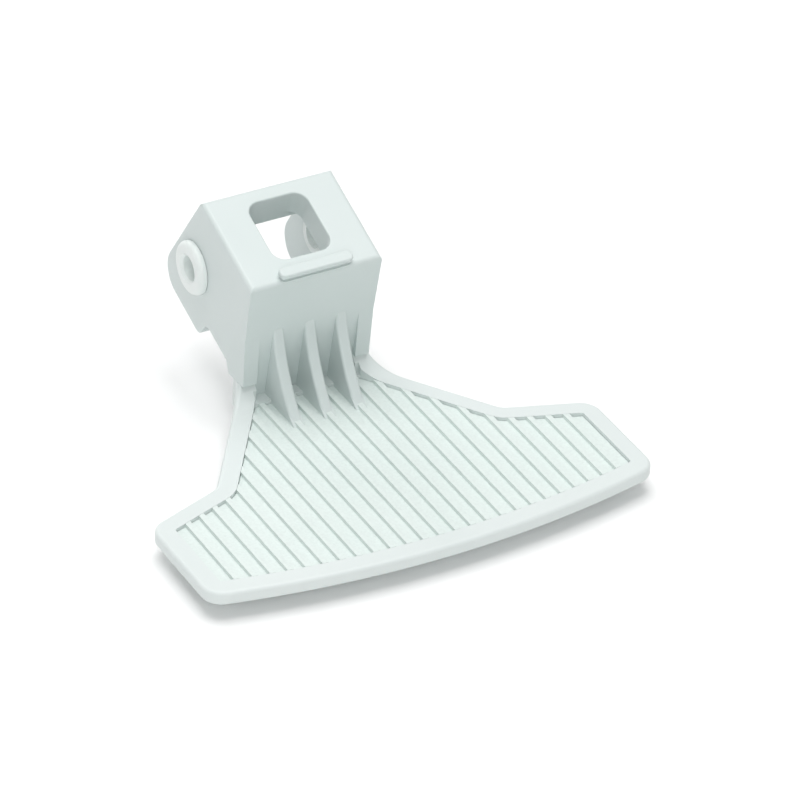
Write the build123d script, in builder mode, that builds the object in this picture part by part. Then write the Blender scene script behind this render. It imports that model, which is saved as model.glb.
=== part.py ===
from build123d import *
import os
from math import cos, radians, sin

# Flared lever handle with a hollow hinge head, in millimetres.
# X runs along the pivot axis, the tread reaches out towards -Y and +Z is up.
# The origin is on the pivot axis, half way between the two ears.
# "Rim" heights count from the flat top of the tread's rim.
# "Slope" distances run along the head's tilted top, from the pivot.

# --- driving dimensions: tread plate ----------------------------------------
PIVOT_HEIGHT = 23.0          # pivot axis above the rim
REACH = 90.1                 # pivot axis to the foremost point of the tread
TREAD_WIDTH = 112.4
TREAD_THICKNESS = 3.4        # height of the tread's outer edge
BELLY_DEPTH = 4.0            # how far the flat of the belly lies below that edge
BELLY_TAPER = 70.0           # degrees from upright of the bevel round the belly
BELLY_WALL = 2.4
BELLY_HOLLOW_INSET = 6.5     # from the recess to the hollow under the insert
TREAD_REAR = -18.9           # rear end of the tread, behind the front wall
TIP_REAR = -55.9             # where an arm's rear edge would meet its side
NECK_REAR = -20.5            # where the neck starts to spread
ARM_CORNER_X = 36.3          # inside corner between the neck and an arm
ARM_CORNER_Y = -49.1
FRONT_RADIUS = 244.0         # long shallow arc of the front edge
TIP_ROUND = 5.0
ARM_CORNER_ROUND = 4.0
RIM_WIDTH = 4.5
RIM_ROUND = 0.9
REAR_BAR_FRONT = -24.7       # front face of the bar that closes the recess
UPTURN_HEIGHT = 4.6          # the neck's rim curves up to meet the posts
UPTURN_LENGTH = 8.5

# --- driving dimensions: grip insert ----------------------------------------
GRIP_BASE = 0.8              # web under the ribs
GRIP_CLEARANCE = 0.1         # gap round the insert's edge
RIB_HEIGHT = 0.85
RIB_PITCH = 4.0
RIB_COUNT = 25
RIB_WIDTH = 1.5
RIB_DRAFT = 5.0              # degrees on each side of a rib

# --- driving dimensions: hinge head -----------------------------------------
HEAD_WIDTH = 33.2
HEAD_TILT = 20.6             # slope of the top face, rising to the rear
HEAD_TOP = 18.0              # top face above the pivot, square to the slope
HEAD_FRONT = -21.3           # front end of the top face, on the slope
HEAD_REAR = 4.5              # rear end of the top face, on the slope
REAR_LEAN = 0.22             # the ears lean back by this much per unit of depth
LOBE_BOTTOM = -14.2          # lower edge of an ear's lobe
LOBE_FRONT = -9.0
LOBE_REAR_ROUND = 6.0
LOBE_FRONT_ROUND = 2.3
SIDE_BOTTOM = -8.6           # lower edge of the side between lobe and wall
SIDE_FRONT = -20.4
TOP_THICKNESS = 2.6
WALL_THICKNESS = 2.4
EAR_THICKNESS = 3.0
WALL_FOOT = -21.5            # front wall's outer face at the rim's level
REAR_FLANGE_DEPTH = 10.5
EDGE_ROUND = 1.1
CREASE_FOOT = -11.8          # rear end of the drawn-in part of each side, at the rim
CREASE_TOP = 30.5            # top of that part, up the front wall from the rim
FOOT_INSET = 0.5             # how far the sides draw in at their foot

WINDOW_WIDTH = 14.7
WINDOW_LENGTH = 16.5
WINDOW_SETBACK = 5.8         # window's front edge behind the head's front edge
WINDOW_ROUND = 3.2
WINDOW_EDGE_ROUND = 0.4
COLLAR_WIDTH = 1.8           # thick rim that hangs round the window
COLLAR_DEPTH = 6.9

LIP_LENGTH = 18.4
LIP_DEPTH = 2.8
LIP_THICKNESS = 1.1
LIP_STEM = 1.0               # gap between the top face and the lip's underside
LIP_UNDERCUT = 0.5           # how far the stem stands in from the lip's outline
LIP_ROOT = 1.1               # depth of the root that fills the rounded edge
LIP_ROUND = 1.3
LIP_EDGE_ROUND = 0.45

GUSSET_WIDTH = 2.8
GUSSET_TOP = 18.6            # above the rim
GUSSET_MIDDLE_Y = -27.6      # the hollow edge of a gusset passes this point
GUSSET_MIDDLE_TOP = 9.3
GUSSET_TOE = -34.3           # where the edge meets the rim's level
GUSSET_TOE_RUN = 1.2         # extra length down to the channel floor
GUSSET_EDGE_ROUND = 0.7
POST_WIDTH = 4.0
POST_TOP = 17.0              # above the rim
POST_PROUD = 1.3

# --- driving dimensions: pivot bushes ---------------------------------------
FLANGE_RADIUS = 6.4
FLANGE_HEIGHT = 1.8
FLANGE_ROUND = 1.3
BARREL_RADIUS = 4.5
BORE_RADIUS = 3.0
BORE_CHAMFER = 0.6
RUNNING_CLEARANCE = 0.05     # radial, between a bush's barrel and its ear
END_PLAY = 0.1               # between a bush's flange and its ear

# --- derived dimensions -----------------------------------------------------
RIM_Z = -PIVOT_HEIGHT
UNDERSIDE_Z = RIM_Z - TREAD_THICKNESS
BELLY_Z = UNDERSIDE_Z - BELLY_DEPTH
CHANNEL_Z = RIM_Z - RIB_HEIGHT
INSERT_Z = CHANNEL_Z - GRIP_BASE
HALF_HEAD = HEAD_WIDTH / 2
HALF_FOOT = HALF_HEAD - FOOT_INSET
HALF_TREAD = TREAD_WIDTH / 2
FRONT_Y = -REACH
WINDOW_MIDDLE = HEAD_FRONT + WINDOW_SETBACK + WINDOW_LENGTH / 2
LIP_MIDDLE = HEAD_FRONT + LIP_DEPTH / 2
GUSSET_SPACING = 2 * RIB_PITCH
FAR = 60.0                   # longer than any cut needs to be


def on_slope(along, above):
    """Side-view point (y, z) from distances along and square to the head's top."""
    tilt = radians(HEAD_TILT)
    return (along * cos(tilt) - above * sin(tilt), along * sin(tilt) + above * cos(tilt))


def front_y(x):
    """Y of the tread's front edge, a shallow arc, at a distance x from the middle."""
    return FRONT_Y + FRONT_RADIUS - (FRONT_RADIUS**2 - x**2) ** 0.5


def wall_point(above_rim, proud=0.0):
    """Side-view point (y, z) on the leaning front wall, at a height above the rim."""
    top_y, top_z = on_slope(HEAD_FRONT, HEAD_TOP)
    lean = (top_y - WALL_FOOT) / (top_z - RIM_Z)
    return (WALL_FOOT + lean * above_rim - proud, RIM_Z + above_rim)


top_plane = Plane(
    origin=(0, *on_slope(0, HEAD_TOP)),
    x_dir=(1, 0, 0),
    z_dir=(0, -sin(radians(HEAD_TILT)), cos(radians(HEAD_TILT))),
)

# --- outlines of the tread and of the recess inside its rim -------------------
with BuildSketch(Plane.XY.offset(UNDERSIDE_Z)) as tread_outline:
    with BuildLine():
        right_edge = Polyline(
            (0, TREAD_REAR),
            (HALF_FOOT, TREAD_REAR),
            (HALF_FOOT, NECK_REAR),
            (ARM_CORNER_X, ARM_CORNER_Y),
            (HALF_TREAD, TIP_REAR),
            (HALF_TREAD, front_y(HALF_TREAD)),
        )
        ThreePointArc(
            (HALF_TREAD, front_y(HALF_TREAD)),
            (0, FRONT_Y),
            (-HALF_TREAD, front_y(HALF_TREAD)),
        )
        mirror(right_edge, about=Plane.YZ)
    make_face()
    tips = tread_outline.vertices().filter_by(lambda v: abs(v.X) > HALF_TREAD - 1)
    fillet(tips, TIP_ROUND)
    arm_corners = tread_outline.vertices().filter_by(lambda v: abs(v.Y - ARM_CORNER_Y) < 0.1)
    fillet(arm_corners, ARM_CORNER_ROUND)

with BuildSketch(Plane.XY.offset(RIM_Z)) as recess_outline:
    add(tread_outline.sketch.moved(Location((0, 0, TREAD_THICKNESS))))
    offset(amount=-RIM_WIDTH, mode=Mode.REPLACE)
    with Locations((0, REAR_BAR_FRONT - FAR)):
        Rectangle(2 * FAR, 2 * FAR, mode=Mode.INTERSECT)

# --- tread plate: hollow belly, rim and the neck's upturned rim ----------------
with BuildPart() as belly:
    with BuildSketch(Plane.XY.offset(UNDERSIDE_Z)):
        add(tread_outline.sketch)
        offset(amount=-RIM_ROUND, mode=Mode.REPLACE)
    extrude(amount=-BELLY_DEPTH, taper=BELLY_TAPER)

with BuildPart() as tread_plate:
    with BuildSketch(Plane.YZ):
        with BuildLine():
            ramp_foot = (WALL_FOOT - UPTURN_LENGTH, RIM_Z)
            ramp_head = wall_point(UPTURN_HEIGHT)
            TangentArc(ramp_foot, ramp_head, tangent=(1, 0))
            Polyline(
                ramp_head,
                (TREAD_REAR, RIM_Z + UPTURN_HEIGHT),
                (TREAD_REAR, UNDERSIDE_Z),
                (FRONT_Y - 1, UNDERSIDE_Z),
                (FRONT_Y - 1, RIM_Z),
                ramp_foot,
            )
        make_face()
    extrude(amount=FAR, both=True)
    extrude(tread_outline.sketch, amount=FAR, mode=Mode.INTERSECT)

    underside = tread_plate.faces().sort_by(Axis.Z)[0]
    rim_top = tread_plate.faces().filter_by_position(Axis.Z, RIM_Z - 0.1, RIM_Z + 0.1)
    front_edges = rim_top.edges().filter_by(lambda e: e.center().Y < ramp_foot[0] - 0.1)
    fillet(front_edges + underside.edges(), RIM_ROUND)

    bar_width = recess_outline.edges().sort_by(Axis.Y)[-1].length
    post_foot_y = wall_point(UPTURN_HEIGHT, POST_PROUD)[0]
    with BuildSketch(Plane.XY.offset(RIM_Z)):
        with Locations((0, REAR_BAR_FRONT)):
            Rectangle(HEAD_WIDTH - 2 * POST_WIDTH, FAR)
        with Locations((0, post_foot_y)):
            Rectangle(bar_width, FAR, align=(Align.CENTER, Align.MAX))
    extrude(amount=UPTURN_HEIGHT, mode=Mode.SUBTRACT)
    extrude(recess_outline.sketch, amount=UPTURN_HEIGHT, mode=Mode.SUBTRACT)
    extrude(recess_outline.sketch, amount=INSERT_Z - RIM_Z, mode=Mode.SUBTRACT)
    add(belly.part)
    with BuildSketch(Plane.XY.offset(INSERT_Z)):
        add(recess_outline.sketch.moved(Location((0, 0, INSERT_Z - RIM_Z))))
        offset(amount=-BELLY_HOLLOW_INSET, mode=Mode.REPLACE)
    extrude(amount=BELLY_Z + BELLY_WALL - INSERT_Z, mode=Mode.SUBTRACT)
tread_plate.part.label = "tread_plate"

# --- hinge head: hollow box, ears, front wall, gussets and lip ----------------
with BuildSketch(Plane.YZ) as head_side:
    with BuildLine():
        Polyline(
            wall_point(0),
            on_slope(HEAD_FRONT, HEAD_TOP),
            on_slope(HEAD_REAR, HEAD_TOP),
            on_slope(HEAD_REAR + REAR_LEAN * (HEAD_TOP - LOBE_BOTTOM), LOBE_BOTTOM),
            on_slope(LOBE_FRONT, LOBE_BOTTOM),
            on_slope(LOBE_FRONT - 1, SIDE_BOTTOM),
            on_slope(SIDE_FRONT, SIDE_BOTTOM),
            wall_point(0, -WALL_THICKNESS),
            close=True,
        )
    make_face()
    rear_corner = head_side.vertices().sort_by(Axis.X)[-1]
    fillet(rear_corner, LOBE_REAR_ROUND)
    step_corners = [
        head_side.vertices().sort_by_distance((*on_slope(LOBE_FRONT, LOBE_BOTTOM), 0))[0],
        head_side.vertices().sort_by_distance((*on_slope(LOBE_FRONT - 1, SIDE_BOTTOM), 0))[0],
    ]
    fillet(step_corners, LOBE_FRONT_ROUND)

with BuildSketch(Plane.YZ) as post_side:
    with BuildLine():
        Polyline(
            wall_point(POST_TOP),
            wall_point(UPTURN_HEIGHT, POST_PROUD),
            wall_point(UPTURN_HEIGHT, -WALL_THICKNESS / 2),
            wall_point(POST_TOP, -WALL_THICKNESS / 2),
            close=True,
        )
    make_face()

with BuildPart() as tapered_body:
    extrude(post_side.sketch, amount=HALF_HEAD, both=True)
    with BuildSketch(Plane.YZ):
        with Locations((wall_point(0)[0], RIM_Z)):
            Rectangle(FAR, 2 * POST_TOP, align=(Align.MAX, Align.CENTER))
    extrude(amount=HALF_HEAD - POST_WIDTH, both=True, mode=Mode.SUBTRACT)
    extrude(head_side.sketch, amount=HALF_HEAD, both=True)
    for side in (-1, 1):
        crease_head = Vector(side * HALF_HEAD, *wall_point(CREASE_TOP))
        crease_foot = Vector(side * HALF_HEAD, CREASE_FOOT, RIM_Z)
        inset_foot = Vector(side * HALF_FOOT, *wall_point(0))
        outward = (inset_foot - crease_head).cross(crease_foot - crease_head) * side
        split(bisect_by=Plane(crease_head, z_dir=outward), keep=Keep.BOTTOM)

with BuildPart() as lip:
    for base, height, inset in (
        (-LIP_ROOT, LIP_ROOT, 0),
        (0, LIP_STEM, LIP_UNDERCUT),
        (LIP_STEM, LIP_THICKNESS, 0),
    ):
        with BuildSketch(top_plane.offset(base)):
            with Locations((0, LIP_MIDDLE)):
                RectangleRounded(
                    LIP_LENGTH - 2 * inset, LIP_DEPTH - 2 * inset, LIP_ROUND - inset
                )
        extrude(amount=height)
    lip_top = lip.faces().filter_by(top_plane).sort_by(Axis.Z)[-1]
    fillet(lip_top.edges(), LIP_EDGE_ROUND)

with BuildPart() as hinge_head:
    add(tapered_body.part)
    top_face = hinge_head.faces().sort_by(Axis.Z)[-1]
    fillet(top_face.edges(), EDGE_ROUND)

    with BuildSketch(Plane.YZ):
        with BuildLine():
            ceiling = HEAD_TOP - TOP_THICKNESS
            flange_front = HEAD_REAR - WALL_THICKNESS
            flange_bottom = HEAD_TOP - REAR_FLANGE_DEPTH
            Polyline(
                wall_point(-1, -WALL_THICKNESS),
                on_slope(HEAD_FRONT + WALL_THICKNESS, ceiling),
                on_slope(flange_front, ceiling),
                on_slope(flange_front, flange_bottom),
                on_slope(FAR, flange_bottom),
                on_slope(FAR, -FAR),
                close=True,
            )
        make_face()
    extrude(amount=HALF_HEAD - EAR_THICKNESS, both=True, mode=Mode.SUBTRACT)

    with BuildSketch(top_plane):
        with Locations((0, WINDOW_MIDDLE)):
            RectangleRounded(
                WINDOW_WIDTH + 2 * COLLAR_WIDTH,
                WINDOW_LENGTH + 2 * COLLAR_WIDTH,
                WINDOW_ROUND + COLLAR_WIDTH,
            )
    extrude(amount=-COLLAR_DEPTH)
    with BuildSketch(top_plane):
        with Locations((0, WINDOW_MIDDLE)):
            RectangleRounded(WINDOW_WIDTH, WINDOW_LENGTH, WINDOW_ROUND)
    extrude(amount=-2 * COLLAR_DEPTH, mode=Mode.SUBTRACT)
    top_face = hinge_head.faces().filter_by(top_plane).sort_by(Axis.Z)[-1]
    fillet(top_face.inner_wires()[0].edges(), WINDOW_EDGE_ROUND)

    add(lip.part)

    for x in (-GUSSET_SPACING, 0, GUSSET_SPACING):
        with BuildSketch(Plane.YZ.offset(x - GUSSET_WIDTH / 2)):
            with BuildLine():
                ThreePointArc(
                    wall_point(GUSSET_TOP),
                    (GUSSET_MIDDLE_Y, RIM_Z + GUSSET_MIDDLE_TOP),
                    (GUSSET_TOE, RIM_Z),
                )
                Polyline(
                    (GUSSET_TOE, RIM_Z),
                    (GUSSET_TOE - GUSSET_TOE_RUN, CHANNEL_Z),
                    (REAR_BAR_FRONT, CHANNEL_Z),
                    (REAR_BAR_FRONT, RIM_Z),
                    wall_point(0, -WALL_THICKNESS / 2),
                    wall_point(GUSSET_TOP, -WALL_THICKNESS / 2),
                    wall_point(GUSSET_TOP),
                )
            make_face()
        extrude(amount=GUSSET_WIDTH)
    arcs = hinge_head.edges().filter_by(GeomType.CIRCLE)
    fillet(arcs.filter_by(lambda e: e.radius > GUSSET_TOP), GUSSET_EDGE_ROUND)

    with BuildSketch(Plane.XY.offset(RIM_Z + UPTURN_HEIGHT)):
        Rectangle(2 * FAR, 2 * FAR)
        Rectangle(HEAD_WIDTH - 2 * POST_WIDTH, 2 * FAR, mode=Mode.SUBTRACT)
    extrude(amount=-2 * UPTURN_HEIGHT, mode=Mode.SUBTRACT)

    with Locations(Plane.YZ):
        Hole(BARREL_RADIUS + RUNNING_CLEARANCE)
hinge_head.part.label = "hinge_head"

# --- grip insert: thin web with fore-and-aft ribs -----------------------------
with BuildPart() as grip_insert:
    with BuildSketch(Plane.XY.offset(INSERT_Z)):
        add(recess_outline.sketch.moved(Location((0, 0, INSERT_Z - RIM_Z))))
        offset(amount=-GRIP_CLEARANCE, mode=Mode.REPLACE)
    extrude(amount=GRIP_BASE)
    with BuildSketch(Plane.XY.offset(CHANNEL_Z)):
        with Locations((0, (FRONT_Y + REAR_BAR_FRONT) / 2)):
            with GridLocations(RIB_PITCH, 0, RIB_COUNT, 1):
                Rectangle(RIB_WIDTH, REACH)
        add(recess_outline.sketch.moved(Location((0, 0, CHANNEL_Z - RIM_Z))), mode=Mode.INTERSECT)
    extrude(amount=RIB_HEIGHT, taper=RIB_DRAFT)
    add(hinge_head.part, mode=Mode.SUBTRACT)
grip_insert.part.label = "grip_insert"

# --- pivot bushes: domed flange outside, barrel through the ear ----------------
with BuildPart() as right_pivot_bush:
    flange_inner = HALF_HEAD + END_PLAY
    flange_outer = flange_inner + FLANGE_HEIGHT
    with BuildSketch(Plane.XY):
        with BuildLine():
            Polyline(
                (HALF_HEAD - EAR_THICKNESS, BORE_RADIUS),
                (HALF_HEAD - EAR_THICKNESS, BARREL_RADIUS),
                (flange_inner, BARREL_RADIUS),
                (flange_inner, FLANGE_RADIUS),
                (flange_outer, FLANGE_RADIUS),
                (flange_outer, BORE_RADIUS + BORE_CHAMFER),
                (flange_outer - BORE_CHAMFER, BORE_RADIUS),
                close=True,
            )
        make_face()
    revolve(axis=Axis.X)
    shoulder = right_pivot_bush.edges().filter_by(GeomType.CIRCLE).filter_by(
        lambda e: e.radius > FLANGE_RADIUS - 0.1
    )
    fillet(shoulder.sort_by(Axis.X)[-1], FLANGE_ROUND)
right_pivot_bush.part.label = "right_pivot_bush"

with BuildPart() as left_pivot_bush:
    mirror(right_pivot_bush.part, about=Plane.YZ)
left_pivot_bush.part.label = "left_pivot_bush"

# --- one STEP file for each piece ----------------------------------------------
os.makedirs("parts", exist_ok=True)
for piece in (hinge_head, tread_plate, grip_insert, left_pivot_bush, right_pivot_bush):
    export_step(piece.part, f"parts/{piece.part.label}.step")
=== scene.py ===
import math

import bpy
from mathutils import Matrix, Vector


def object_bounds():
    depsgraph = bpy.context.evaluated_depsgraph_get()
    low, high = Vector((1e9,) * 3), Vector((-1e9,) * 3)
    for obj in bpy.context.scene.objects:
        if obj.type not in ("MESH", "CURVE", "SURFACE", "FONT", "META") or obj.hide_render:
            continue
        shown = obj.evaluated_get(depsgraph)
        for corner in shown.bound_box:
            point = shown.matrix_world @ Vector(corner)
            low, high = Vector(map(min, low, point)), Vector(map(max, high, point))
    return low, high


# Looks, light and camera for the flared lever handle. The shapes are the CAD nodes
# themselves; each gets a procedural moulded-plastic material.

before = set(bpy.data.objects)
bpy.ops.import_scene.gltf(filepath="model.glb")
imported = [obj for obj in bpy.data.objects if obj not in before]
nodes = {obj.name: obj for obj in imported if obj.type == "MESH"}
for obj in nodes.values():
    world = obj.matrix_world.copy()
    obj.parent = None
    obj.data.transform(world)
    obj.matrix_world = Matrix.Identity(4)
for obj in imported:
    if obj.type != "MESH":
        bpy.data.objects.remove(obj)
cad_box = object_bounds()
cad_low, cad_high = (Vector(corner) for corner in cad_box)


# --- node graph helpers --------------------------------------------------------
NOISE_LOW = 0.3              # noise values seldom fall outside these two
NOISE_HIGH = 0.7


class Graph:
    """A material's node tree, with short calls to add and join nodes."""

    def __init__(self, name):
        self.material = bpy.data.materials.new(name)
        self.material.use_nodes = True
        self.tree = self.material.node_tree
        self.tree.nodes.clear()
        output = self.tree.nodes.new("ShaderNodeOutputMaterial")
        self.shader = self.tree.nodes.new("ShaderNodeBsdfPrincipled")
        self.link(self.shader.outputs["BSDF"], output.inputs["Surface"])
        self.position = self.node("ShaderNodeTexCoord").outputs["Object"]

    def link(self, source, target):
        self.tree.links.new(source, target)

    def node(self, kind, **settings):
        made = self.tree.nodes.new(kind)
        for key, value in settings.items():
            setattr(made, key, value)
        return made

    def noise(self, scale, detail=2.0, roughness=0.5, stretch=None):
        """Noise on the object's own coordinates; scale is in cycles per metre."""
        source = self.position
        if stretch:
            mapping = self.node("ShaderNodeMapping")
            mapping.inputs["Scale"].default_value = stretch
            self.link(source, mapping.inputs["Vector"])
            source = mapping.outputs["Vector"]
        made = self.node("ShaderNodeTexNoise")
        made.inputs["Scale"].default_value = scale
        made.inputs["Detail"].default_value = detail
        made.inputs["Roughness"].default_value = roughness
        self.link(source, made.inputs["Vector"])
        return made.outputs["Fac"]

    def ramp(self, source, stops):
        """A grey ramp between two stops; each is a (place, grey level) pair."""
        made = self.node("ShaderNodeValToRGB")
        for element, (place, level) in zip(made.color_ramp.elements, stops):
            element.position = place
            element.color = (level, level, level, 1.0)
        self.link(source, made.inputs["Fac"])
        return made.outputs["Color"]

    def math(self, operation, *values):
        """A math node on numbers or on other nodes' outputs."""
        made = self.node("ShaderNodeMath", operation=operation)
        for socket, value in zip(made.inputs, values):
            if isinstance(value, (int, float)):
                socket.default_value = value
            else:
                self.link(value, socket)
        return made.outputs["Value"]

    def remap(self, source, low, high):
        """Spread the middle of a noise's range over low to high."""
        made = self.node("ShaderNodeMapRange")
        made.inputs["From Min"].default_value = NOISE_LOW
        made.inputs["From Max"].default_value = NOISE_HIGH
        made.inputs["To Min"].default_value = low
        made.inputs["To Max"].default_value = high
        self.link(source, made.inputs["Value"])
        return made.outputs["Result"]

    def mix(self, factor, first, second, blend="MIX"):
        """Blend two colours; inputs 6 and 7 and output 2 are the node's colour sockets."""
        made = self.node("ShaderNodeMix", data_type="RGBA", blend_type=blend)
        if isinstance(factor, (int, float)):
            made.inputs["Factor"].default_value = factor
        else:
            self.link(factor, made.inputs["Factor"])
        for socket, value in ((made.inputs[6], first), (made.inputs[7], second)):
            if isinstance(value, tuple):
                socket.default_value = (*value, 1.0)
            else:
                self.link(value, socket)
        return made.outputs[2]

    def bump(self, height, strength, distance):
        """Raise the shading normal by a height map; distance is in metres."""
        made = self.node("ShaderNodeBump")
        made.inputs["Strength"].default_value = strength
        made.inputs["Distance"].default_value = distance
        self.link(height, made.inputs["Height"])
        self.link(made.outputs["Normal"], self.shader.inputs["Normal"])


# --- moulded plastic -------------------------------------------------------------
CLOUD_SCALE = 38.0           # cycles per metre
FLOW_SCALE = 60.0
FLOW_STRETCH = (1.0, 0.18, 1.0)
FLOW_HEIGHT = 0.6            # flow lines' share of the bump, next to the grain
ROUGHNESS_SPREAD = 0.04
SPECKLE_STOPS = (0.30, 0.62)
BUMP_STRENGTH = 0.35
PLASTIC_IOR = 1.49


def moulded_plastic(name, body, pale, roughness, grain, grain_depth, speckle=0.0):
    """Satin injection-moulded plastic: faint cloudy tint, flow lines and a fine grain."""
    graph = Graph(name)
    shader = graph.shader
    cloud = graph.noise(CLOUD_SCALE, detail=3.0, roughness=0.55)
    flow = graph.noise(FLOW_SCALE, stretch=FLOW_STRETCH)
    tint = graph.mix(graph.remap(cloud, 0.0, 1.0), body, pale)
    fine = graph.noise(grain, roughness=0.6)
    if speckle:
        dark_stop, white_stop = SPECKLE_STOPS
        shade = graph.ramp(fine, ((dark_stop, 1.0 - speckle), (white_stop, 1.0)))
        tint = graph.mix(1.0, tint, shade, blend="MULTIPLY")
    graph.link(tint, shader.inputs["Base Color"])
    graph.link(
        graph.remap(flow, roughness - ROUGHNESS_SPREAD, roughness + ROUGHNESS_SPREAD),
        shader.inputs["Roughness"],
    )
    shader.inputs["IOR"].default_value = PLASTIC_IOR
    height = graph.math("ADD", fine, graph.math("MULTIPLY", flow, FLOW_HEIGHT))
    graph.bump(height, BUMP_STRENGTH, grain_depth)
    return graph.material


# One mint plastic. The hue and the pale cloud ends are its own colour. The rim, grip and
# bush copies are made lighter than the head's, in steps matched to how brightly each part
# showed under the light: painted light.
HEAD_MINT = (0.625, 0.690, 0.680)
HEAD_PALE = (0.645, 0.705, 0.695)
RIM_MINT_PAINTED_LIGHT = (0.685, 0.740, 0.730)
RIM_PALE_PAINTED_LIGHT = (0.705, 0.755, 0.745)
GRIP_MINT_PAINTED_LIGHT = (0.700, 0.775, 0.750)
GRIP_PALE_PAINTED_LIGHT = (0.725, 0.795, 0.770)
BUSH_MINT_PAINTED_LIGHT = (0.780, 0.830, 0.815)
BUSH_PALE_PAINTED_LIGHT = (0.800, 0.845, 0.830)

# Each part's material takes its own brightness step of the mint. The steps above the
# head's are painted light.
head_plastic = moulded_plastic(
    "head_plastic", HEAD_MINT, HEAD_PALE, roughness=0.42, grain=2600.0, grain_depth=0.00004
)
tread_plastic = moulded_plastic(
    "tread_plastic", RIM_MINT_PAINTED_LIGHT, RIM_PALE_PAINTED_LIGHT, roughness=0.40, grain=2600.0, grain_depth=0.00004
)
grip_plastic = moulded_plastic(
    "grip_plastic", GRIP_MINT_PAINTED_LIGHT, GRIP_PALE_PAINTED_LIGHT, roughness=0.5, grain=1500.0, grain_depth=0.00012,
    speckle=0.06,
)
bush_plastic = moulded_plastic(
    "bush_plastic", BUSH_MINT_PAINTED_LIGHT, BUSH_PALE_PAINTED_LIGHT, roughness=0.34, grain=3200.0, grain_depth=0.00003
)

FINISHES = {
    "hinge_head": head_plastic,
    "tread_plate": tread_plastic,
    "grip_insert": grip_plastic,
    "left_pivot_bush": bush_plastic,
    "right_pivot_bush": bush_plastic,
}
for node, material in FINISHES.items():
    piece = nodes[node]
    if not piece.material_slots:
        piece.data.materials.append(None)
    for material_slot in piece.material_slots:
        material_slot.link = "OBJECT"
        material_slot.material = material

# --- ground ------------------------------------------------------------------------
FLOOR_HALF_SIZE = 3.0
FLOOR_NOISE_SCALE = 4.0
FLOOR_GREY = (0.93, 0.95)    # darkest and palest
FLOOR_ROUGHNESS = 0.9
FLOOR_SPECULAR = 0.1

floor_mesh = bpy.data.meshes.new("floor")
corners = [
    (x * FLOOR_HALF_SIZE, y * FLOOR_HALF_SIZE, cad_low.z)
    for x, y in ((-1, -1), (1, -1), (1, 1), (-1, 1))
]
floor_mesh.from_pydata(corners, [], [(0, 1, 2, 3)])
floor = bpy.data.objects.new("floor", floor_mesh)
bpy.context.scene.collection.objects.link(floor)
floor_graph = Graph("floor_paper")
floor_tone = floor_graph.remap(floor_graph.noise(FLOOR_NOISE_SCALE), *FLOOR_GREY)
floor_graph.link(floor_tone, floor_graph.shader.inputs["Base Color"])
floor_graph.shader.inputs["Roughness"].default_value = FLOOR_ROUGHNESS
floor_graph.shader.inputs["Specular IOR Level"].default_value = FLOOR_SPECULAR
floor_mesh.materials.append(floor_graph.material)

# --- light ------------------------------------------------------------------------
WHITE = (1.0, 1.0, 1.0)
FILL_TINT = (0.97, 1.0, 0.99)
WORLD_STRENGTH = 0.42

world = bpy.data.worlds.new("studio")
world.use_nodes = True
background = world.node_tree.nodes["Background"]
background.inputs["Color"].default_value = (*WHITE, 1.0)
background.inputs["Strength"].default_value = WORLD_STRENGTH
bpy.context.scene.world = world
bpy.context.scene.view_settings.view_transform = "Standard"


def softbox(name, offset, size, power, colour=WHITE):
    """A square area light, placed at an offset from the part's middle and facing it."""
    data = bpy.data.lights.new(name, "AREA")
    data.shape = "SQUARE"
    data.size = size
    data.energy = power
    data.color = colour
    lamp = bpy.data.objects.new(name, data)
    lamp.location = middle + Vector(offset)
    lamp.rotation_euler = (middle - lamp.location).to_track_quat("-Z", "Y").to_euler()
    bpy.context.scene.collection.objects.link(lamp)


middle = (cad_low + cad_high) / 2
softbox("overhead", offset=(0.0, 0.1, 1.1), size=0.9, power=9.5)
softbox("front_fill", offset=(-0.5, -0.95, 0.6), size=0.6, power=3.4, colour=FILL_TINT)
softbox("back", offset=(0.0, 1.0, 0.5), size=0.5, power=1.7)

# --- camera -------------------------------------------------------------------------
AZIMUTH = math.radians(-31.42)
ELEVATION = math.radians(34.66)
ROLL = math.radians(3.46)
DISTANCE = 1.2627            # metres from the aim point
LENS_MM = 256.13
SENSOR_MM = 36.0
AIM_RIGHT = 0.00756          # aim point, along the camera's right and up from ANCHOR
AIM_UP = 0.01155
ANCHOR = Vector((0.0, -0.0515, -0.0230))    # in the tread's top, near its middle
CLIP_NEAR = 0.01
CLIP_FAR = 20.0

back = Vector((
    math.sin(AZIMUTH) * math.cos(ELEVATION),
    -math.cos(AZIMUTH) * math.cos(ELEVATION),
    math.sin(ELEVATION),
))
level_right = Vector((math.cos(AZIMUTH), math.sin(AZIMUTH), 0.0))
level_up = level_right.cross(-back)
right = level_right * math.cos(ROLL) + level_up * math.sin(ROLL)
up = level_up * math.cos(ROLL) - level_right * math.sin(ROLL)
aim = ANCHOR + right * AIM_RIGHT + up * AIM_UP

camera_data = bpy.data.cameras.new("camera")
camera_data.lens = LENS_MM
camera_data.sensor_width = SENSOR_MM
camera_data.clip_start = CLIP_NEAR
camera_data.clip_end = CLIP_FAR
camera = bpy.data.objects.new("camera", camera_data)
turn = Matrix((right, up, back)).transposed().to_4x4()
camera.matrix_world = Matrix.Translation(aim + back * DISTANCE) @ turn
bpy.context.scene.collection.objects.link(camera)
bpy.context.scene.camera = camera
